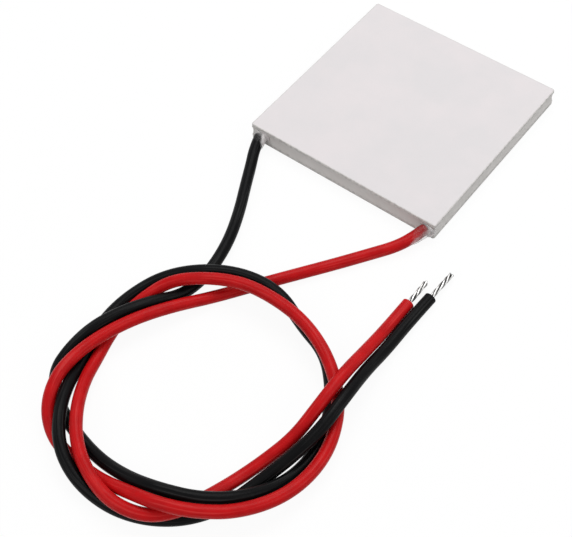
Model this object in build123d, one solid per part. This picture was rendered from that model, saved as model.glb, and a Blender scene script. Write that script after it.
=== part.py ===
from build123d import *
import os
from math import cos, pi, radians, sin, tan

# A thermoelectric cooling module: two ceramic plates with rows of semiconductor pellets between them, joined
# in series by copper tabs, and two leads that leave one side. Millimetres. The origin is the centre of the
# underside, +Z is up (the cold face) and the leads leave towards -Y, the red one at +X.

# Ceramic plates
PLATE_SIDE = 40.0
PLATE_THICKNESS = 0.7
PLATE_CORNER_RADIUS = 0.4
PLATE_EDGE_CHAMFER = 0.1

# Pellets and the copper tabs that join them two by two. A tab stands out by its margin round each pellet.
PELLET_SIDE = 1.4
PELLET_HEIGHT = 1.5
PELLET_PITCH = 2.4
TAB_THICKNESS = 0.35
TAB_MARGIN = 0.15
TERMINAL_MARGIN = 0.35

# Silicone seal between the plates, with a hollow outer face
SEAL_WIDTH = 0.7
SEAL_RECESS = 0.05
SEAL_HOLLOW = 0.18
SEAL_CLEARANCE = 0.1

# Insulated leads. Each leaves by its offset outwards from the outer pellets, turned by its angle to the middle.
LEAD_DIAMETER = 2.1
RED_EXIT_OFFSET = 0.2
RED_EXIT_ANGLE = 12.0
BLACK_EXIT_OFFSET = -0.2
BLACK_EXIT_ANGLE = 20.0
LEAD_FIRST_RUN = 3.0
LEAD_END_CLEARANCE = 0.04
ARC_SHARE_OF_RUN = 0.45

# Bare core of each lead: its bend and solder joint inside, and its tinned end outside
CORE_DIAMETER = 0.9
CORE_BEND_RADIUS = 2.0
CORE_BEND_GAP = 0.35
SOLDER_LENGTH = 1.8
SOLDER_PELLET_GAP = 0.45
SOLDER_SIDE_MARGIN = 0.13
SOLDER_TOP_MARGIN = 0.12
SOLDER_END_COVER = 0.35
SOLDER_SLOPE = 4.0
RED_TIP_LENGTH = 5.5
BLACK_TIP_LENGTH = 6.3
TIP_END_CHAMFER = 0.15

# Clear sealant that fills each exit and runs out along the insulation
SEALANT_LENGTH = 1.6
SEALANT_FLARE = 0.3
SEALANT_FLARE_LENGTH = 0.6
SEALANT_FILM = 0.06
SEALANT_WAIST = 0.16

# Routes of the leads beyond their first run, chosen by hand: x, distance from the plates' edge, height
RED_ROUTE = [
    (16.0, 6.0, 1.3), (13.6, 9.6, 1.1), (10.0, 15.2, 1.1), (6.0, 21.0, 1.1), (1.8, 27.0, 1.1),
    (-2.0, 32.6, 1.2), (-5.2, 38.6, 2.6), (-8.1, 44.4, 3.5), (-10.3, 50.0, 3.6), (-11.5, 55.4, 3.6),
    (-11.5, 60.4, 3.5), (-9.4, 64.9, 2.6), (-5.6, 67.8, 1.2), (-0.4, 68.6, 1.1), (5.4, 68.6, 1.4),
    (11.0, 68.1, 3.7), (16.6, 67.5, 5.7), (22.0, 65.4, 5.7), (26.8, 61.4, 4.8), (30.2, 55.2, 2.8),
    (31.0, 48.4, 1.2), (30.0, 42.0, 1.1), (26.6, 35.7, 1.3), (20.8, 31.4, 3.3), (14.2, 28.8, 3.8),
    (7.4, 28.1, 3.9), (1.0, 29.0, 3.9), (-4.8, 32.0, 3.9), (-8.8, 35.6, 3.4), (-11.0, 39.6, 1.9),
    (-11.7, 43.8, 1.1), (-10.8, 48.0, 1.1), (-9.0, 52.6, 1.1), (-7.2, 57.2, 2.2), (-4.6, 62.4, 3.4),
    (-0.8, 67.0, 3.5), (4.4, 69.9, 3.5), (10.2, 71.1, 3.4), (15.8, 69.5, 3.4), (19.2, 65.8, 3.4),
    (20.6, 61.2, 2.5), (21.6, 56.2, 1.1), (23.4, 51.2, 1.5), (24.8, 45.8, 2.8), (25.0, 39.8, 3.7),
    (25.0, 33.2, 4.6), (25.0, 26.6, 3.0), (24.7, 20.4, 1.1), (24.4, 14.3, 1.1),
]
BLACK_ROUTE = [
    (-15.2, 6.5, 1.3), (-13.1, 10.4, 1.1), (-10.3, 15.8, 1.1), (-7.9, 21.6, 1.1), (-6.3, 27.4, 1.1),
    (-5.7, 32.0, 1.1), (-6.4, 36.0, 1.3), (-8.4, 40.0, 2.8), (-11.1, 44.6, 3.5), (-13.4, 49.6, 3.6),
    (-14.7, 54.4, 1.8), (-13.4, 59.0, 1.1), (-9.2, 62.6, 1.1), (-3.6, 64.4, 1.1), (2.8, 66.0, 1.2),
    (9.2, 66.2, 3.0), (15.4, 65.3, 5.1), (21.0, 63.0, 5.3), (25.4, 58.8, 4.2), (28.0, 52.8, 2.2),
    (28.8, 46.6, 1.1), (27.0, 40.8, 1.1), (23.4, 35.9, 1.1), (18.8, 31.3, 1.1), (13.0, 27.2, 1.2),
    (6.6, 25.4, 3.2), (-0.4, 26.5, 3.4), (-6.6, 30.0, 3.4), (-11.3, 34.8, 2.6), (-14.2, 40.6, 1.1),
    (-14.1, 46.6, 1.1), (-12.4, 51.4, 1.1), (-10.9, 55.6, 1.1), (-9.3, 59.6, 2.7), (-6.8, 64.0, 3.5),
    (-2.8, 68.8, 3.5), (2.6, 71.6, 2.5), (9.0, 71.6, 1.1), (15.0, 69.6, 1.1), (20.0, 65.6, 1.1),
    (23.0, 60.4, 1.1), (24.8, 54.4, 1.2), (26.4, 48.6, 2.8), (27.6, 42.8, 3.6), (27.6, 36.6, 3.8),
    (27.4, 30.2, 3.2), (27.1, 24.0, 1.5), (26.8, 17.6, 1.1), (26.7, 11.2, 1.1),
]

# Levels of the stack, from the underside up
HOT_TAB_Z = PLATE_THICKNESS
PELLET_Z = HOT_TAB_Z + TAB_THICKNESS
COLD_TAB_Z = PELLET_Z + PELLET_HEIGHT
COLD_PLATE_Z = COLD_TAB_Z + TAB_THICKNESS
MIDDLE_Z = PELLET_Z + PELLET_HEIGHT / 2

# Plan: half sizes of the plates, of the space inside the seal and of the pellet array
EDGE = PLATE_SIDE / 2
SEAL_INSIDE = EDGE - SEAL_RECESS - SEAL_WIDTH
ARRAY_LIMIT = SEAL_INSIDE - SEAL_CLEARANCE
TAB_WIDTH = PELLET_SIDE + 2 * TAB_MARGIN
TERMINAL_WIDTH = PELLET_SIDE + 2 * TERMINAL_MARGIN

# As many rows as fit, always an even number so that the series ends on the side where it starts
ROWS_THAT_FIT = 1 + int((2 * ARRAY_LIMIT - TERMINAL_WIDTH) / PELLET_PITCH)
ROWS = ROWS_THAT_FIT - ROWS_THAT_FIT % 2
FIRST_CELL = -PELLET_PITCH * (ROWS - 1) / 2

LEAD_RADIUS = LEAD_DIAMETER / 2
CORE_RADIUS = CORE_DIAMETER / 2

# Ends of the solder joints, short of the pellets on the terminal tabs
SOLDER_HIGH_Y = FIRST_CELL + PELLET_PITCH - PELLET_SIDE / 2 - SOLDER_PELLET_GAP
SOLDER_LOW_Y = SOLDER_HIGH_Y - SOLDER_LENGTH


def cell_centre(column, row):
    """Plan position of one place in the pellet array."""
    return FIRST_CELL + column * PELLET_PITCH, FIRST_CELL + row * PELLET_PITCH


def series_path():
    """The array's places in the order in which the current passes them.

    It runs up one column and down the next. The first place of the first and of the last column stays
    empty, because the leads are soldered there.
    """
    places = []
    for column in range(ROWS):
        rows = list(range(ROWS))
        if column in (0, ROWS - 1):
            rows.remove(0)
        if column % 2 == 1:
            rows.reverse()
        for row in rows:
            places.append((column, row))
    return places


def block(x_size, y_size, height, x, y, z):
    """A box that stands on the level z, centred on x and y."""
    return Pos(x, y, z) * Box(x_size, y_size, height, align=(Align.CENTER, Align.CENTER, Align.MIN))


def joining_tab(first_place, second_place, level):
    """A copper tab under or over two neighbouring pellets."""
    x_one, y_one = cell_centre(*first_place)
    x_two, y_two = cell_centre(*second_place)
    x_size = abs(x_two - x_one) + TAB_WIDTH
    y_size = abs(y_two - y_one) + TAB_WIDTH
    return block(x_size, y_size, TAB_THICKNESS, (x_one + x_two) / 2, (y_one + y_two) / 2, level)


def ceramic_plate(level):
    """A thin square plate with small round corners and a fine chamfer along both rims."""
    outline = RectangleRounded(PLATE_SIDE, PLATE_SIDE, PLATE_CORNER_RADIUS)
    plate = extrude(outline, PLATE_THICKNESS)
    rims = plate.edges().group_by(Axis.Z)
    plate = chamfer(rims[0] + rims[-1], PLATE_EDGE_CHAMFER)
    return Pos(0, 0, level) * plate


def rounded_path(points):
    """Straight runs joined by tangent arcs, each as large as its two runs allow, and the arcs' radii."""
    corners = [Vector(*point) for point in points]
    radii = []
    for before, here, after in zip(corners, corners[1:], corners[2:]):
        run_in = here - before
        run_out = after - here
        half_turn = radians(run_in.get_angle(run_out)) / 2
        radii.append(ARC_SHARE_OF_RUN * min(run_in.length, run_out.length) / tan(half_turn))
    return FilletPolyline(*points, radius=radii), radii


def rod(path, radius):
    """A round bar along a path."""
    section = Plane(origin=path @ 0, z_dir=path % 0) * Circle(radius)
    return sweep(section, path=path)


def lead_start(side, offset, degrees):
    """Where the insulation ends, just clear of the plates' edge, and its direction inwards there."""
    angle = radians(degrees)
    x = side * (offset - FIRST_CELL)
    y = -EDGE - LEAD_END_CLEARANCE - LEAD_RADIUS * sin(angle)
    return Vector(x, y, MIDDLE_Z), Vector(side * sin(angle), cos(angle), 0)


def lead(start, inwards, route):
    """The insulated lead from the module's edge to its free end, with the path that it follows."""
    points = [start, start - inwards * LEAD_FIRST_RUN]
    for x, out, z in route:
        points.append(Vector(x, -EDGE - out, z))
    path, radii = rounded_path(points)
    return rod(path, LEAD_RADIUS), path, radii


def lead_core(start, inwards):
    """The bare core from the end of the insulation, through the seal and then along its terminal tab."""
    knee_y = CORE_BEND_GAP - SEAL_INSIDE
    knee = start + inwards * ((knee_y - start.Y) / inwards.Y)
    end = Vector(knee.X, SOLDER_HIGH_Y - SOLDER_END_COVER, MIDDLE_Z)
    path = FilletPolyline(start, knee, end, radius=CORE_BEND_RADIUS)
    return rod(path, CORE_RADIUS), end.X


def solder_joint(x, core):
    """A long mound of solder on the terminal tab, narrowing upwards, that holds the end of the core."""
    width = CORE_DIAMETER + 2 * SOLDER_SIDE_MARGIN
    height = MIDDLE_Z + CORE_RADIUS + SOLDER_TOP_MARGIN - PELLET_Z
    middle_y = (SOLDER_LOW_Y + SOLDER_HIGH_Y) / 2
    foot = Pos(x, middle_y, PELLET_Z) * SlotOverall(SOLDER_LENGTH, width, rotation=90)
    return extrude(foot, height, taper=SOLDER_SLOPE) - core


def terminal_tab(side):
    """The copper tab under the first or last pellet, which reaches into the empty corner."""
    x = -side * FIRST_CELL
    low = -ARRAY_LIMIT
    high = FIRST_CELL + PELLET_PITCH + TAB_WIDTH / 2
    return block(TERMINAL_WIDTH, high - low, TAB_THICKNESS, x, (low + high) / 2, HOT_TAB_Z)


def exit_sealant(start, inwards, neighbours):
    """Clear sealant round the start of a lead: in the seal's hollow, on the plates' edges, then a thin film."""
    outwards = inwards * -1
    behind = LEAD_RADIUS
    profile = Polyline(
        (-behind, 0), (-behind, LEAD_RADIUS + SEALANT_FLARE),
        (SEALANT_FLARE_LENGTH, LEAD_RADIUS + SEALANT_WAIST), (SEALANT_LENGTH, LEAD_RADIUS + SEALANT_FILM),
        (SEALANT_LENGTH, 0), close=True
    )
    collar = Plane(origin=start, x_dir=outwards, z_dir=(0, 0, 1)) * revolve(make_face(profile), Axis.X)
    depth = SEAL_RECESS + SEAL_HOLLOW + SEAL_CLEARANCE
    collar = collar - block(PLATE_SIDE, PLATE_SIDE, PLATE_SIDE, start.X, depth, -EDGE)
    for neighbour in neighbours:
        collar = collar - neighbour
    return collar


def lead_tip(path, length):
    """The bare tinned end, straight on from the end of the insulation."""
    tip = extrude(Plane(origin=path @ 1, z_dir=path % 1) * Circle(CORE_RADIUS), length)
    end_rim = tip.edges().sort_by_distance(path @ 1)[-1]
    return chamfer(end_rim, TIP_END_CHAMFER)


def edge_seal(cores):
    """A square ring between the plates, hollowed along each outer side and moulded round the two cores."""
    outer = EDGE - SEAL_RECESS
    height = COLD_PLATE_Z - PLATE_THICKNESS
    outline = Rectangle(2 * outer, 2 * outer) - Rectangle(2 * SEAL_INSIDE, 2 * SEAL_INSIDE)
    ring = Pos(0, 0, PLATE_THICKNESS) * extrude(outline, height)
    groove_radius = ((height / 2) ** 2 + SEAL_HOLLOW ** 2) / (2 * SEAL_HOLLOW)
    groove = Rot(X=90) * Cylinder(groove_radius, PLATE_SIDE)
    groove = Pos(outer - SEAL_HOLLOW + groove_radius, 0, MIDDLE_Z) * groove
    for quarter_turn in (0, 90, 180, 270):
        ring = ring - Rot(Z=quarter_turn) * groove
    for core in cores:
        ring = ring - core
    return ring


def save(name, solids):
    """Writes one node, a single piece or a group of like pieces."""
    shape = solids
    if isinstance(solids, list):
        shape = Compound(children=solids)
    export_step(shape, os.path.join("parts", name + ".step"))


os.makedirs("parts", exist_ok=True)

# Plates
hot_plate = ceramic_plate(0)
cold_plate = ceramic_plate(COLD_PLATE_Z)
save("hot_side_ceramic", hot_plate)
save("cold_side_ceramic", cold_plate)

# Pellets, p-type and n-type in turn along the series
places = series_path()
pellets = []
for place in places:
    pellets.append(block(PELLET_SIDE, PELLET_SIDE, PELLET_HEIGHT, *cell_centre(*place), PELLET_Z))
save("p_type_pellets", pellets[0::2])
save("n_type_pellets", pellets[1::2])

# Tabs, on the cold side and on the hot side in turn along the series
steps = list(zip(places, places[1:]))
save("cold_side_tabs", [joining_tab(*step, COLD_TAB_Z) for step in steps[0::2]])
save("hot_side_tabs", [joining_tab(*step, HOT_TAB_Z) for step in steps[1::2]])

# Leads, each with its core, solder joint, terminal tab and tinned end
exits = []
for colour, pole, side, offset, degrees, route, tip_length in (
    ("red", "positive", 1, RED_EXIT_OFFSET, RED_EXIT_ANGLE, RED_ROUTE, RED_TIP_LENGTH),
    ("black", "negative", -1, BLACK_EXIT_OFFSET, BLACK_EXIT_ANGLE, BLACK_ROUTE, BLACK_TIP_LENGTH),
):
    start, inwards = lead_start(side, offset, degrees)
    insulation, path, radii = lead(start, inwards, route)
    core, core_x = lead_core(start, inwards)
    exits.append((colour, start, inwards, insulation, core))
    save(pole + "_terminal_tab", terminal_tab(side))
    save(colour + "_lead", insulation)
    save(colour + "_lead_core", core)
    save(colour + "_solder_joint", solder_joint(core_x, core))
    save(colour + "_lead_tip", lead_tip(path, tip_length))
    expected = pi * LEAD_RADIUS ** 2 * path.length
    ratio = insulation.volume / expected
    print(colour, "lead: length", round(path.length, 1), "volume ratio", round(ratio, 5))
    print("  bend radii:", ", ".join(f"{radius:.1f}" for radius in radii))

# Seal, then the sealant in its hollow at each exit
seal = edge_seal([core for *_, core in exits])
save("edge_seal", seal)
for colour, start, inwards, insulation, core in exits:
    neighbours = (hot_plate, cold_plate, seal, insulation, core)
    save(colour + "_exit_sealant", exit_sealant(start, inwards, neighbours))
print(len(pellets), "pellets in", ROWS, "rows")
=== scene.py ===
from math import pi, radians

import bpy
import numpy as np
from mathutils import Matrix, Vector


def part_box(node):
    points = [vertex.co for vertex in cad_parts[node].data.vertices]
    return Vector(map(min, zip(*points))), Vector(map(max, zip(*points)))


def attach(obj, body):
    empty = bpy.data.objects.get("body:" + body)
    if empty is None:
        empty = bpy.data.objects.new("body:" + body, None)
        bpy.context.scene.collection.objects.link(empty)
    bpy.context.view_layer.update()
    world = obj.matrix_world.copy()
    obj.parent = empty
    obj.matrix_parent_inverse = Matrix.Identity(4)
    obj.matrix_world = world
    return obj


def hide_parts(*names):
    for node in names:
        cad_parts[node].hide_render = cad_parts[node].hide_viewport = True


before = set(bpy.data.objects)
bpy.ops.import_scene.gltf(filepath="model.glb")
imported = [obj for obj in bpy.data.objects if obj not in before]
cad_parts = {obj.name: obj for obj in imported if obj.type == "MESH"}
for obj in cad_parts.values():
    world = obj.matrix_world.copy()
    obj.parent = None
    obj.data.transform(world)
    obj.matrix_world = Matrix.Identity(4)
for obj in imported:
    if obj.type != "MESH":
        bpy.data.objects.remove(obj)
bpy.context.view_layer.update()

# Ceramic plates
# Two square plates of white alumina, pressed thin, fired without a glaze and snapped apart along scribed
# lines. One is the hot face below and one the cold face above; both are kept as the solids have them.

millimetre = 0.001
plate_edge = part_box("cold_side_ceramic")[1][0]


def make_mottle():
    """A shared effect: broad soft patches and fine grain, two noises of given scales at a given place."""
    tree = bpy.data.node_groups.new("mottle", "ShaderNodeTree")
    tree.interface.new_socket("Place", in_out="INPUT", socket_type="NodeSocketVector")
    for scale_name in ("Patch Scale", "Grain Scale"):
        tree.interface.new_socket(scale_name, in_out="INPUT", socket_type="NodeSocketFloat")
    for result in ("Patches", "Grain"):
        tree.interface.new_socket(result, in_out="OUTPUT", socket_type="NodeSocketFloat")
    entry = tree.nodes.new("NodeGroupInput")
    leave = tree.nodes.new("NodeGroupOutput")
    for scale_name, detail, result in (("Patch Scale", 3.0, "Patches"), ("Grain Scale", 2.0, "Grain")):
        noise = tree.nodes.new("ShaderNodeTexNoise")
        noise.inputs["Detail"].default_value = detail
        tree.links.new(entry.outputs["Place"], noise.inputs["Vector"])
        tree.links.new(entry.outputs[scale_name], noise.inputs["Scale"])
        tree.links.new(noise.outputs["Fac"], leave.inputs[result])
    return tree


mottle = make_mottle()


class Finish:
    """A material under construction: its shader, its mottle, and short ways to add and join nodes."""

    def __init__(self, name, patch_scale, grain_scale):
        self.material = bpy.data.materials.new(name)
        self.material.use_nodes = True
        self.tree = self.material.node_tree
        self.shader = self.tree.nodes["Principled BSDF"]
        self.place = self.add("ShaderNodeTexCoord").outputs["Object"]
        group = self.add("ShaderNodeGroup")
        group.node_tree = mottle
        group.inputs["Patch Scale"].default_value = patch_scale
        group.inputs["Grain Scale"].default_value = grain_scale
        self.join(self.place, group.inputs["Place"])
        self.patches = group.outputs["Patches"]
        self.grain = group.outputs["Grain"]

    def add(self, kind):
        return self.tree.nodes.new(kind)

    def join(self, source, target):
        self.tree.links.new(source, target)

    def feed(self, name, source):
        """Joins a socket to the shader's input of that name."""
        self.join(source, self.shader.inputs[name])

    def set(self, **values):
        """Sets shader inputs that are the same all over the surface."""
        for name, value in values.items():
            self.shader.inputs[name.replace("_", " ")].default_value = value

    def stretch(self, value, low, high, to_low, to_high):
        """The value between low and high, mapped on to another range and held inside it."""
        node = self.add("ShaderNodeMapRange")
        self.join(value, node.inputs["Value"])
        ends = {"From Min": low, "From Max": high, "To Min": to_low, "To Max": to_high}
        for name, number in ends.items():
            node.inputs[name].default_value = number
        return node.outputs["Result"]

    def blend(self, mask, first, second):
        """A colour between first and second. Each is a colour or a socket."""
        node = self.add("ShaderNodeMix")
        node.data_type = "RGBA"
        self.join(mask, node.inputs["Factor"])
        # The mix node's colour sockets stand after those for numbers and vectors.
        first_colour = 6
        mixed_colour = 2
        for socket, colour in zip(node.inputs[first_colour:], (first, second)):
            if isinstance(colour, bpy.types.NodeSocket):
                self.join(colour, socket)
            else:
                socket.default_value = (*colour, 1.0)
        return node.outputs[mixed_colour]

    def arithmetic(self, operation, *terms):
        """The result of an operation on one or two terms, each a socket or a number."""
        node = self.add("ShaderNodeMath")
        node.operation = operation
        for socket, term in zip(node.inputs, terms):
            if isinstance(term, bpy.types.NodeSocket):
                self.join(term, socket)
            else:
                socket.default_value = term
        return node.outputs["Value"]

    def split(self, vector):
        """The three parts of a vector, by name."""
        node = self.add("ShaderNodeSeparateXYZ")
        self.join(vector, node.inputs["Vector"])
        return node.outputs

    def noise(self, vector, scale, detail=2.0):
        """A soft noise over the given places."""
        node = self.add("ShaderNodeTexNoise")
        node.inputs["Scale"].default_value = scale
        node.inputs["Detail"].default_value = detail
        self.join(vector, node.inputs["Vector"])
        return node.outputs["Fac"]

    def stored(self, name):
        """A value that the mesh keeps on its points under a name."""
        node = self.add("ShaderNodeAttribute")
        node.attribute_name = name
        return node.outputs["Fac"]

    def patchy(self, first, second, low=0.35, high=0.65):
        """A colour that drifts from first to second as the broad patches go from low to high."""
        return self.blend(self.stretch(self.patches, low, high, 0.0, 1.0), first, second)

    def roughness(self, smoothest, roughest):
        """Lets the shader's roughness follow the fine grain between two values."""
        self.feed("Roughness", self.stretch(self.grain, 0.3, 0.7, smoothest, roughest))

    def relief(self, height, depth):
        """A bump on the shader's normal. A height from zero to one spans the given depth in metres."""
        bump = self.add("ShaderNodeBump")
        bump.inputs["Distance"].default_value = depth
        self.join(height, bump.inputs["Height"])
        self.feed("Normal", bump.outputs["Normal"])


def dress(node, finish):
    """Gives a solid its material."""
    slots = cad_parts[node].data.materials
    slots.clear()
    slots.append(finish.material)


alumina = Finish("fired_alumina", patch_scale=120.0, grain_scale=9000.0)
axes = alumina.split(alumina.place)
from_middle = alumina.arithmetic(
    "MAXIMUM", alumina.arithmetic("ABSOLUTE", axes["X"]), alumina.arithmetic("ABSOLUTE", axes["Y"])
)
# The rim: the plates' snapped sides and a narrow band of the top faces along them. Its greyer colour is
# partly the snapped alumina's own; on the top faces' rim it is painted shade along the small chamfer of the
# edge.
rim_band_from = plate_edge - 0.28 * millimetre
rim_band_to = plate_edge - 0.02 * millimetre
snapped_rim_and_shade = alumina.stretch(from_middle, rim_band_from, rim_band_to, 0.0, 1.0)
face_colour = alumina.patchy((0.80, 0.755, 0.765), (0.765, 0.735, 0.745))
specks = alumina.stretch(alumina.grain, 0.66, 0.74, 0.0, 0.3)
face_colour = alumina.blend(specks, face_colour, (0.55, 0.53, 0.51))
chipped = alumina.stretch(alumina.noise(alumina.place, scale=1400.0), 0.42, 0.6, 0.0, 1.0)
# Snapped alumina's grey, also standing as painted shade along the top faces' rim.
snapped_grey_and_rim_shade = alumina.blend(chipped, (0.72, 0.70, 0.675), (0.57, 0.555, 0.535))
alumina.feed("Base Color", alumina.blend(snapped_rim_and_shade, face_colour, snapped_grey_and_rim_shade))
alumina.roughness(0.5, 0.66)
upright = alumina.add("ShaderNodeMapping")
upright.inputs["Scale"].default_value = (1.0, 1.0, 0.12)
alumina.join(alumina.place, upright.inputs["Vector"])
splinters = alumina.noise(upright.outputs["Vector"], scale=5000.0)
snapped_height = alumina.arithmetic("MULTIPLY", splinters, snapped_rim_and_shade)
alumina.relief(alumina.arithmetic("ADD", snapped_height, alumina.grain), 0.014 * millimetre)
for plate in ("hot_side_ceramic", "cold_side_ceramic"):
    dress(plate, alumina)

# Copper tabs
# Strips of sheet copper bonded to the inner face of each plate. They join the pellets two by two, and the
# two longer ones at the corners take the leads.

copper = Finish("bonded_copper", patch_scale=700.0, grain_scale=6000.0)
copper.feed("Base Color", copper.patchy((0.83, 0.42, 0.26), (0.56, 0.25, 0.15), low=0.3, high=0.7))
copper.roughness(0.22, 0.42)
copper.set(Metallic=1.0)
copper.relief(copper.grain, 0.008 * millimetre)
for tabs in ("cold_side_tabs", "hot_side_tabs", "positive_terminal_tab", "negative_terminal_tab"):
    dress(tabs, copper)

# Pellets
# Small blocks sawn from grown crystals of two kinds of semiconductor. Both are grey and brittle with a
# flaky grain; the n-type is a little lighter.

for kind, pale, dark in (
    ("p_type", (0.27, 0.27, 0.29), (0.13, 0.13, 0.145)),
    ("n_type", (0.36, 0.355, 0.35), (0.19, 0.185, 0.18)),
):
    crystal = Finish(kind + "_crystal", patch_scale=900.0, grain_scale=7000.0)
    crystal.feed("Base Color", crystal.patchy(pale, dark))
    crystal.roughness(0.3, 0.6)
    crystal.set(Metallic=0.85)
    crystal.relief(crystal.grain, 0.02 * millimetre)
    dress(kind + "_pellets", crystal)

# Edge seal
# A bead of white silicone pressed into the gap between the plates and wiped off with the edge, so that its
# face is a little hollow, satin and slightly uneven. Painted shade darkens it towards the upper plate.

silicone = Finish("wiped_silicone", patch_scale=260.0, grain_scale=2600.0)
bead_colour = silicone.patchy((0.80, 0.775, 0.755), (0.71, 0.69, 0.665), low=0.3, high=0.7)
# Painted shade: the bead's colour darkens upwards, towards the upper plate.
shade_from_height = 1.0 * millimetre
shade_to_height = 2.6 * millimetre
painted_shade_towards_top = silicone.stretch(silicone.split(silicone.place)["Z"], shade_from_height, shade_to_height, 0.0, 0.8)
silicone.feed("Base Color", silicone.blend(painted_shade_towards_top, bead_colour, (0.63, 0.605, 0.585)))
silicone.roughness(0.38, 0.55)
silicone.relief(silicone.patches, 0.06 * millimetre)
dress("edge_seal", silicone)

# Cores and solder joints
# Each lead's stranded core is tinned, laid along its terminal tab and held there by a mound of solder. The
# same tinned metal shows at the free ends, with painted shade in the grooves between strands.

tinned = Finish("tinned_strand", patch_scale=1500.0, grain_scale=9000.0)
bright_tin = tinned.patchy((0.72, 0.72, 0.71), (0.40, 0.39, 0.38))
# Painted shade: the tin is darkened in the grooves between strands.
tinned.feed("Base Color", tinned.blend(tinned.stored("painted_groove_shade"), bright_tin, (0.03, 0.029, 0.028)))
tinned.roughness(0.16, 0.34)
tinned.set(Metallic=1.0)
tinned.relief(tinned.grain, 0.008 * millimetre)

solder = Finish("set_solder", patch_scale=1100.0, grain_scale=5000.0)
solder.feed("Base Color", solder.patchy((0.66, 0.66, 0.67), (0.48, 0.48, 0.49)))
solder.roughness(0.25, 0.45)
solder.set(Metallic=1.0)
solder.relief(solder.patches, 0.02 * millimetre)
for colour in ("red", "black"):
    dress(colour + "_lead_core", tinned)
    dress(colour + "_solder_joint", solder)

# Leads
# Two limp stranded wires in satin insulation. They leave the same edge of the module, cross, and lie in a
# loose loop of two turns with both free ends together. Points in millimetres: x, distance from the edge,
# height.

lead_diameter = 2.1 * millimetre
edge_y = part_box("hot_side_ceramic")[0][1]
routes = {
    "red": [
        (18.2, 0.26, 1.8), (17.58, 3.19, 1.8),
        (16.1, 6.1, 1.3), (13.6, 9.6, 1.1), (9.9, 15.1, 1.1), (5.8, 20.9, 1.1), (1.6, 26.9, 1.1),
        (-2.1, 32.5, 1.2), (-5.5, 38.4, 2.6), (-8.4, 44.2, 3.5), (-10.6, 49.9, 3.6), (-11.6, 55.4, 3.6),
        (-11.1, 60.4, 3.8), (-9.1, 64.8, 2.6), (-5.4, 67.6, 1.2), (-0.3, 68.5, 1.1), (5.4, 68.6, 1.4),
        (11.0, 68.2, 3.7), (16.6, 67.6, 5.7), (21.8, 65.3, 5.7), (26.5, 61.3, 4.8), (29.8, 55.2, 3.4),
        (30.9, 48.9, 2.9), (29.9, 42.7, 2.5), (26.8, 36.7, 3.0), (21.0, 31.8, 3.7), (14.4, 29.1, 4.4),
        (7.7, 28.4, 4.5), (1.2, 29.1, 4.5), (-4.6, 32.2, 4.4), (-8.7, 35.6, 3.8), (-11.0, 39.6, 1.9),
        (-11.7, 43.8, 1.1), (-11.1, 48.2, 1.1), (-9.6, 53.1, 1.1), (-7.8, 57.7, 2.2), (-4.7, 62.5, 3.4),
        (-0.7, 66.8, 3.5), (4.5, 69.6, 3.5), (10.2, 70.9, 3.4), (15.8, 69.5, 3.4), (19.2, 65.8, 3.4),
        (20.7, 61.3, 2.6), (21.8, 56.3, 1.1), (23.4, 51.2, 1.5), (25.0, 45.8, 2.8), (25.5, 40.5, 5.2),
        (25.3, 33.6, 5.6), (24.8, 26.5, 3.0), (24.4, 20.3, 1.1), (24.4, 14.3, 1.1),
    ],
    "black": [
        (-17.8, 0.4, 1.8), (-16.77, 3.22, 1.8),
        (-15.1, 6.4, 1.3), (-13.1, 10.4, 1.1), (-10.2, 15.8, 1.1), (-7.7, 21.6, 1.1), (-6.3, 27.4, 1.1),
        (-6.1, 31.8, 1.1), (-6.7, 35.9, 1.5), (-8.6, 39.8, 3.0), (-11.1, 44.6, 3.5), (-12.9, 49.8, 3.6),
        (-13.9, 54.6, 2.1), (-13.4, 59.0, 1.1), (-9.2, 62.6, 1.1), (-3.6, 64.8, 1.1), (2.8, 66.1, 1.2),
        (9.2, 66.3, 3.0), (15.5, 65.4, 5.1), (21.1, 63.1, 5.3), (25.6, 58.8, 4.2), (28.0, 52.6, 1.4),
        (28.8, 46.6, 1.1), (27.2, 40.3, 1.1), (24.1, 35.1, 1.1), (19.2, 30.2, 1.1), (13.1, 28.4, 1.3),
        (7.0, 26.2, 3.2), (0.1, 26.9, 3.4), (-6.1, 30.3, 3.4), (-11.1, 34.9, 2.4), (-13.7, 40.8, 1.1),
        (-13.8, 46.7, 1.1), (-12.4, 51.4, 1.1), (-10.9, 55.6, 1.1), (-9.3, 59.6, 2.7), (-6.8, 64.0, 3.5),
        (-2.6, 68.7, 3.5), (2.8, 71.0, 2.1), (9.1, 71.1, 1.1), (15.0, 69.3, 1.1), (20.0, 65.6, 1.1),
        (23.3, 60.4, 1.1), (24.8, 54.5, 1.2), (27.1, 48.7, 3.7), (28.0, 43.2, 4.7), (27.9, 37.6, 5.5),
        (26.9, 30.1, 3.2), (26.7, 24.0, 1.5), (26.5, 17.6, 1.1), (26.7, 11.2, 1.1),
    ],
}


def route_points(colour):
    """A lead's control points in metres: the distance from the edge is taken off the edge's own place."""
    points = np.array(routes[colour]) * millimetre
    points[:, 1] = edge_y - points[:, 1]
    return points


def insulated_lead(colour, finish):
    """A round tube on one smooth spline that has the route's points as its control points."""
    points = route_points(colour)
    line = bpy.data.curves.new(colour + "_insulation", "CURVE")
    line.dimensions = "3D"
    spline = line.splines.new("NURBS")
    spline.points.add(len(points) - 1)
    spline.points.foreach_set("co", np.column_stack([points, np.ones(len(points))]).ravel())
    spline.use_endpoint_u = True
    spline.order_u = 3
    line.resolution_u = 10
    line.bevel_depth = lead_diameter / 2
    line.bevel_resolution = 8
    line.use_fill_caps = True
    line.materials.append(finish.material)
    tube = bpy.data.objects.new(colour + "_insulation", line)
    bpy.context.collection.objects.link(tube)
    return tube


# Each lead's colours: plain, deep, a lighter streak colour that is partly scuffing and partly painted
# highlight, and the shine.
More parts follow.
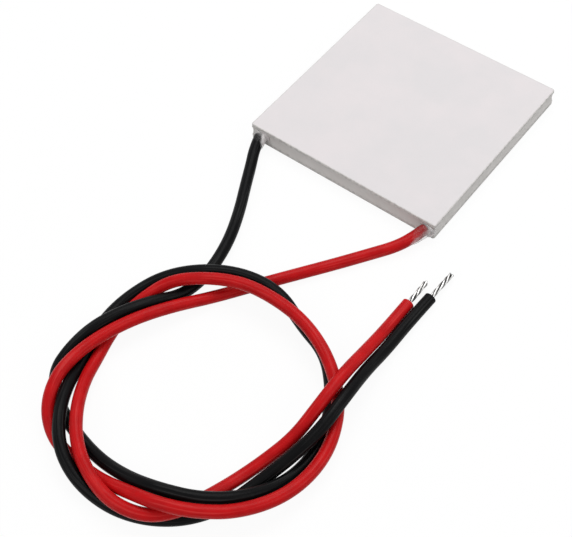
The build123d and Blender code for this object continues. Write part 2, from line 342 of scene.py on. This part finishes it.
insulation_colours = {
    "red": ((0.585, 0.007, 0.009), (0.49, 0.005, 0.007), (0.68, 0.040, 0.038), 0.10),
    "black": ((0.0025, 0.0025, 0.003), (0.004, 0.004, 0.0045), (0.030, 0.0305, 0.0305), 0.06),
}
streaks_along = 10.0
# How far from the wall the painted shade on the insulation begins, and where it is full.
wall_shade_from = 3.4 * millimetre
wall_shade_to = 1.4 * millimetre
darkened = 0.55
leads = {}
for colour, (plain, deep, scuffs_and_highlight, shine) in insulation_colours.items():
    vinyl = Finish(colour + "_vinyl", patch_scale=420.0, grain_scale=5200.0)
    unrolled = vinyl.split(vinyl.add("ShaderNodeTexCoord").outputs["UV"])
    around = vinyl.arithmetic("MULTIPLY", unrolled["Y"], 2 * pi)
    drawn = vinyl.add("ShaderNodeCombineXYZ")
    vinyl.join(vinyl.arithmetic("MULTIPLY", unrolled["X"], streaks_along), drawn.inputs["X"])
    vinyl.join(vinyl.arithmetic("COSINE", around), drawn.inputs["Y"])
    vinyl.join(vinyl.arithmetic("SINE", around), drawn.inputs["Z"])
    die_lines_and_highlight_streaks = vinyl.noise(drawn.outputs["Vector"], scale=3.0, detail=3.0)
    shade = vinyl.patchy(plain, deep)
    # Lengthwise streaks of the lighter colour: partly die lines and scuffs, partly painted highlight.
    shade = vinyl.blend(vinyl.stretch(die_lines_and_highlight_streaks, 0.54, 0.72, 0.0, 0.8), shade, scuffs_and_highlight)
    # Painted shade: the insulation is darkened near the wall, where the sealant film covers it.
    painted_wall_shade = vinyl.stretch(
        vinyl.split(vinyl.place)["Y"], edge_y - wall_shade_from, edge_y - wall_shade_to, 0.0, 1.0
    )
    shade = vinyl.blend(painted_wall_shade, shade, tuple(darkened * part for part in deep))
    vinyl.feed("Base Color", shade)
    vinyl.roughness(0.28, 0.42)
    vinyl.set(Specular_IOR_Level=shine)
    vinyl.relief(vinyl.arithmetic("ADD", vinyl.grain, die_lines_and_highlight_streaks), 0.01 * millimetre)
    leads[colour] = insulated_lead(colour, vinyl)
    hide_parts(colour + "_lead")
    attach(leads[colour], "root")

# Exit sealant
# A dab of clear sealant round each lead where it leaves. It clings to the plates' edges, and was dragged
# out along the insulation in a thin uneven film that catches the light.

inside_edge = 0.2 * millimetre
clear_of_plates = 0.02 * millimetre
between_plates = (
    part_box("hot_side_ceramic")[1][2] + clear_of_plates,
    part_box("cold_side_ceramic")[0][2] - clear_of_plates,
)


def add_mesh(name, points, faces, finish):
    """A smooth-shaded mesh object at the origin from point and face arrays."""
    mesh = bpy.data.meshes.new(name)
    mesh.from_pydata(points.reshape(-1, 3).tolist(), [], faces.tolist())
    mesh.update()
    mesh.shade_smooth()
    mesh.materials.append(finish.material)
    piece = bpy.data.objects.new(name, mesh)
    bpy.context.collection.objects.link(piece)
    return piece


def ring_faces(rings, around, closed=False):
    """Quads from each ring of points to the next, closed round each ring, and on to the first if asked."""
    ring, step = np.meshgrid(np.arange(rings if closed else rings - 1), np.arange(around), indexing="ij")
    after = (step + 1) % around
    here = ring * around
    beyond = (ring + 1) % rings * around
    corners = (here + step, here + after, beyond + after, beyond + step)
    return np.stack(corners, axis=-1).reshape(-1, 4)


def lead_line(colour):
    """Points along the middle of a lead, read from its own spline with no thickness."""
    bare = leads[colour].data.copy()
    bare.bevel_depth = 0.0
    line = bpy.data.objects.new(colour + "_line", bare)
    mesh = bpy.data.meshes.new_from_object(line)
    points = np.empty(len(mesh.vertices) * 3)
    mesh.vertices.foreach_get("co", points)
    bpy.data.objects.remove(line)
    bpy.data.meshes.remove(mesh)
    bpy.data.curves.remove(bare)
    return points.reshape(-1, 3)


def sealant_dab(colour, finish, length, dragged_side, flange, rim, streak, seed):
    """A closed sleeve round the start of a lead, along the lead's own line.

    Its outer radius is the lead's plus a thickness. The thickness is a fillet at the plates that dies away,
    plus a film with a few waves in it, plus a thicker drag mark on one side. Where the film ends it sinks
    below the insulation, at a ragged edge. The sleeve turns back on a radius just inside the insulation,
    and its first ring lies between the plates, in the hollow of the seal. A value on each point tells how
    milky it is: most in the drag mark and at the plates.
    """
    rings = 48
    around = 64
    end_sharpness = 26.0
    line = lead_line(colour)
    walked = np.concatenate([[0.0], np.cumsum(np.linalg.norm(np.diff(line, axis=0), axis=1))])
    share = np.linspace(0.0, 1.0, rings) ** 1.5
    middle = np.column_stack([np.interp(share * length, walked, line[:, axis]) for axis in range(3)])
    outwards = np.gradient(middle, axis=0)
    outwards = outwards / np.linalg.norm(outwards, axis=1, keepdims=True)
    sideways = np.cross([0.0, 0.0, 1.0], outwards)
    sideways = sideways / np.linalg.norm(sideways, axis=1, keepdims=True)
    upwards = np.cross(outwards, sideways)
    along = share[:, None]
    from_plates = along * length / millimetre
    angle = np.linspace(0.0, 2 * np.pi, around, endpoint=False)[None, :]
    draw = np.random.default_rng(seed)
    waves = sum(
        draw.uniform(0.2, 0.4) * np.sin(order * angle + draw.uniform(0, 6) + draw.uniform(3, 9) * along)
        for order in (2, 3, 5, 7)
    )
    beside = np.cos(angle - dragged_side)
    film = (0.03 + 0.02 * waves) * millimetre
    steep_foot = np.exp(-from_plates / 0.14)
    long_foot = np.exp(-from_plates / 0.6)
    fillet = flange * (0.75 * steep_foot + 0.25 * long_foot) * (1.0 + 0.6 * beside)
    dragged = np.clip(beside, 0.0, 1.0) ** 4 * (1.0 + 0.6 * waves)
    drag_mark = 0.2 * millimetre * dragged
    ragged_end = 0.5 + 0.14 * waves + 0.3 * beside
    kept = 1.0 / (1.0 + np.exp((along - ragged_end) * end_sharpness))
    sunk = 0.03 * millimetre
    outer = lead_diameter / 2 + (film + fillet + drag_mark) * kept + sunk * (kept - 1.0)
    inner = np.full_like(outer, lead_diameter / 2 - 2 * sunk)
    radius = np.concatenate([outer, inner[::-1]])[..., None]
    there_and_back = np.concatenate([np.arange(rings), np.arange(rings)[::-1]])
    skin = (
        middle[there_and_back][:, None, :]
        + radius * np.cos(angle)[..., None] * sideways[there_and_back][:, None, :]
        + radius * np.sin(angle)[..., None] * upwards[there_and_back][:, None, :]
    )
    skin[..., 1] = np.minimum(skin[..., 1], edge_y)
    skin[[0, -1], :, 1] = edge_y + inside_edge
    skin[[0, -1], :, 2] = np.clip(skin[[0, -1], :, 2], *between_plates)
    faces = ring_faces(len(there_and_back), around, closed=True)
    piece = add_mesh(colour + "_sealant", skin, faces, finish)
    at_plates = np.exp(-from_plates / 0.3) * (1.0 + beside)
    milk = np.clip((0.1 + rim * at_plates + streak * dragged) * kept, 0.0, 1.0)[there_and_back]
    piece.data.attributes.new("milk", "FLOAT", "POINT").data.foreach_set("value", milk.ravel())
    return piece


clear = Finish("clear_sealant", patch_scale=700.0, grain_scale=4200.0)
clear.feed("Base Color", clear.patchy((0.86, 0.83, 0.83), (0.70, 0.67, 0.67)))
milk = clear.stored("milk")
cloudy = clear.arithmetic("MULTIPLY", milk, clear.stretch(clear.patches, 0.3, 0.62, 0.35, 1.0))
covered = clear.stretch(milk, 0.05, 0.1, 0.0, 0.2)
bubbles = clear.arithmetic("MULTIPLY", covered, clear.stretch(clear.grain, 0.6, 0.72, 0.0, 1.0))
clear.feed("Alpha", clear.arithmetic("MAXIMUM", clear.stretch(cloudy, 0.1, 0.75, 0.03, 0.9), bubbles))
clear.roughness(0.12, 0.3)
clear.relief(clear.patches, 0.03 * millimetre)
dab_shapes = {
    "red": dict(
        length=4.6 * millimetre, dragged_side=-0.1, flange=0.36 * millimetre, rim=0.45, streak=0.55, seed=3
    ),
    "black": dict(
        length=3.0 * millimetre, dragged_side=0.2, flange=0.45 * millimetre, rim=0.35, streak=0.9, seed=8
    ),
}
dabs = {}
for colour, shape in dab_shapes.items():
    dabs[colour] = sealant_dab(colour, clear, **shape)
    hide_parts(colour + "_exit_sealant")
    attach(dabs[colour], "root")

# Bare ends
# At the free ends the insulation is stripped, and the strands are twisted together and tinned. The twist
# shows, and the strands' ends are a little uneven.

bundle_radius = 0.45 * millimetre
core_radius = 0.16 * millimetre
strand_radius = 0.20 * millimetre
twist_pitch = 7.0 * millimetre
uneven_by = 0.25 * millimetre
twisted_round = 4
flare = 0.1
sway_turns = 0.035
sway_waves = 1.3
groove_top = 0.97
groove_fade = 0.16
blunt_tip = 0.0004


def twisted_strands(colour, finish, length, seed):
    """One straight strand and four on helices round it, carried along the lead's last direction.

    A strand's centre lies at a turn that grows along the length and sways a little, on a radius that opens
    slightly at the end. Its round section shrinks to a point at both ends. A value on each point tells how
    deep between strands it lies; it is used as painted shade, so only the outside of the bundle stays
    bright.
    """
    points = route_points(colour)
    forward = points[-1] - points[-2]
    forward = forward / np.linalg.norm(forward)
    sideways = np.cross(forward, [0.0, 0.0, 1.0])
    sideways = sideways / np.linalg.norm(sideways)
    upwards = np.cross(sideways, forward)
    thickness = np.array([core_radius] + [strand_radius] * twisted_round)[:, None]
    strands = len(thickness)
    number = np.arange(strands)[:, None]
    layer = np.where(number > 0, bundle_radius - thickness, 0.0)
    rings = 64
    around = 12
    draw = np.random.default_rng(seed)
    reach = length - draw.uniform(0.0, 1.0, (strands, 1)) * uneven_by
    share = np.linspace(0.0, 1.0, rings)[None, :]
    along = share * reach
    opening = layer * (1.0 + flare * share ** 4)
    sway = sway_turns * np.sin(2 * np.pi * (sway_waves * share + draw.uniform(0.0, 1.0, (strands, 1))))
    turn = 2 * np.pi * (number / twisted_round + along / twist_pitch + sway)
    angle = np.linspace(0.0, 2 * np.pi, around, endpoint=False)
    from_end = np.clip(np.minimum(along, reach - along) / thickness, 0.0, 1.0)
    section = (thickness * np.sqrt(np.clip(1.0 - (1.0 - from_end) ** 2, blunt_tip, 1.0)))[..., None]
    across = (opening * np.cos(turn))[..., None] + section * np.cos(angle)
    up = (opening * np.sin(turn))[..., None] + section * np.sin(angle)
    skin = (
        points[-1]
        + along[..., None, None] * forward
        + across[..., None] * sideways
        + up[..., None] * upwards
    )
    one = ring_faces(rings, around)[:, ::-1]
    faces = (one[None] + (number * rings * around)[..., None]).reshape(-1, 4)
    piece = add_mesh(colour + "_strands", skin, faces, finish)
    # Painted shade: darker the nearer a point lies to the bundle's middle, in the grooves and on the
    # strands' inner sides.
    depth = np.clip((groove_top - np.hypot(across, up) / bundle_radius) / groove_fade, 0.0, 1.0)
    piece.data.attributes.new("painted_groove_shade", "FLOAT", "POINT").data.foreach_set("value", depth.ravel())
    return piece


tip_shapes = {"red": dict(length=5.5 * millimetre, seed=1), "black": dict(length=6.3 * millimetre, seed=5)}
tips = {}
for colour, shape in tip_shapes.items():
    tips[colour] = twisted_strands(colour, tinned, **shape)
    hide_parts(colour + "_lead_tip")
    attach(tips[colour], "root")
    route_points(colour)[0].tolist()

# Floor
# A plain pale table, a hair below the object. The camera and reflections see it nearly white, with the
# object's soft shadow; other light meets a grey.

floor_half = 1.5
floor_drop = 0.02 * millimetre
floor_corners = [(-1, -1), (1, -1), (1, 1), (-1, 1)]
floor_mesh = bpy.data.meshes.new("floor")
floor_mesh.from_pydata(
    [(x * floor_half, y * floor_half, -floor_drop) for x, y in floor_corners], [], [(0, 1, 2, 3)]
)
floor = bpy.data.objects.new("floor", floor_mesh)
bpy.context.collection.objects.link(floor)


def seen_directly(tree):
    """One where the camera, a reflection or a look through something clear meets the surface, else zero."""
    path = tree.nodes.new("ShaderNodeLightPath")
    total = path.outputs["Is Camera Ray"]
    for ray in ("Is Glossy Ray", "Is Transmission Ray"):
        either = tree.nodes.new("ShaderNodeMath")
        either.operation = "MAXIMUM"
        tree.links.new(total, either.inputs[0])
        tree.links.new(path.outputs[ray], either.inputs[1])
        total = either.outputs["Value"]
    return total


table = bpy.data.materials.new("pale_table")
table.use_nodes = True
tree = table.node_tree
tree.nodes.clear()
output = tree.nodes.new("ShaderNodeOutputMaterial")
matt = tree.nodes.new("ShaderNodeBsdfDiffuse")
matt.inputs["Color"].default_value = (0.60, 0.60, 0.60, 1.0)
glow = tree.nodes.new("ShaderNodeEmission")
glow.inputs["Strength"].default_value = 1.06
glow_share = 0.88
lift = tree.nodes.new("ShaderNodeMath")
lift.operation = "MULTIPLY"
lift.inputs[1].default_value = glow_share
tree.links.new(seen_directly(tree), lift.inputs[0])
mix = tree.nodes.new("ShaderNodeMixShader")
tree.links.new(lift.outputs["Value"], mix.inputs["Fac"])
tree.links.new(matt.outputs["BSDF"], mix.inputs[1])
tree.links.new(glow.outputs["Emission"], mix.inputs[2])
tree.links.new(mix.outputs["Shader"], output.inputs["Surface"])
floor_mesh.materials.append(table)

# Light
# A broad soft box overhead and behind, weaker ones on the right and in front, and an even pale surround
# that looks white and lights the object with about a third of that.

scene = bpy.context.scene
world = bpy.data.worlds.new("surround")
scene.world = world
world.use_nodes = True
tree = world.node_tree
background = tree.nodes["Background"]
background.inputs["Color"].default_value = (1.0, 1.0, 1.0, 1.0)
strength = tree.nodes.new("ShaderNodeMapRange")
strength.inputs["To Min"].default_value = 0.36
strength.inputs["To Max"].default_value = 1.0
tree.links.new(seen_directly(tree), strength.inputs["Value"])
tree.links.new(strength.outputs["Result"], background.inputs["Strength"])
lit_place = Vector((0.005, -0.035, 0.0))


def soft_box(name, place, size, watts):
    """A square area lamp that faces the middle of the object."""
    lamp = bpy.data.lights.new(name, "AREA")
    lamp.size = size
    lamp.energy = watts
    box = bpy.data.objects.new(name, lamp)
    bpy.context.collection.objects.link(box)
    box.location = place
    box.rotation_euler = (lit_place - Vector(place)).to_track_quat("-Z", "Y").to_euler()


soft_box("overhead_box", place=(-0.08, 0.22, 0.56), size=0.4, watts=1.9)
soft_box("right_box", place=(0.50, 0.10, 0.40), size=0.3, watts=0.6)
soft_box("front_box", place=(-0.15, -0.60, 0.50), size=0.35, watts=1.0)

# Camera
# Set where the photograph was taken from: to the right of the leads, looking down on the module. Its place
# and turn come from a fit to the four corners of the upper plate.

camera = bpy.data.objects.new("camera", bpy.data.cameras.new("camera"))
bpy.context.collection.objects.link(camera)
camera.data.sensor_width = 36.0
camera.data.lens = 76.39
camera.data.clip_start = 0.01
camera.location = (0.08052, -0.13371, 0.16670)
camera.rotation_euler = (radians(36.029), radians(1.359), radians(37.619))
scene.camera = camera
scene.view_settings.view_transform = "Standard"
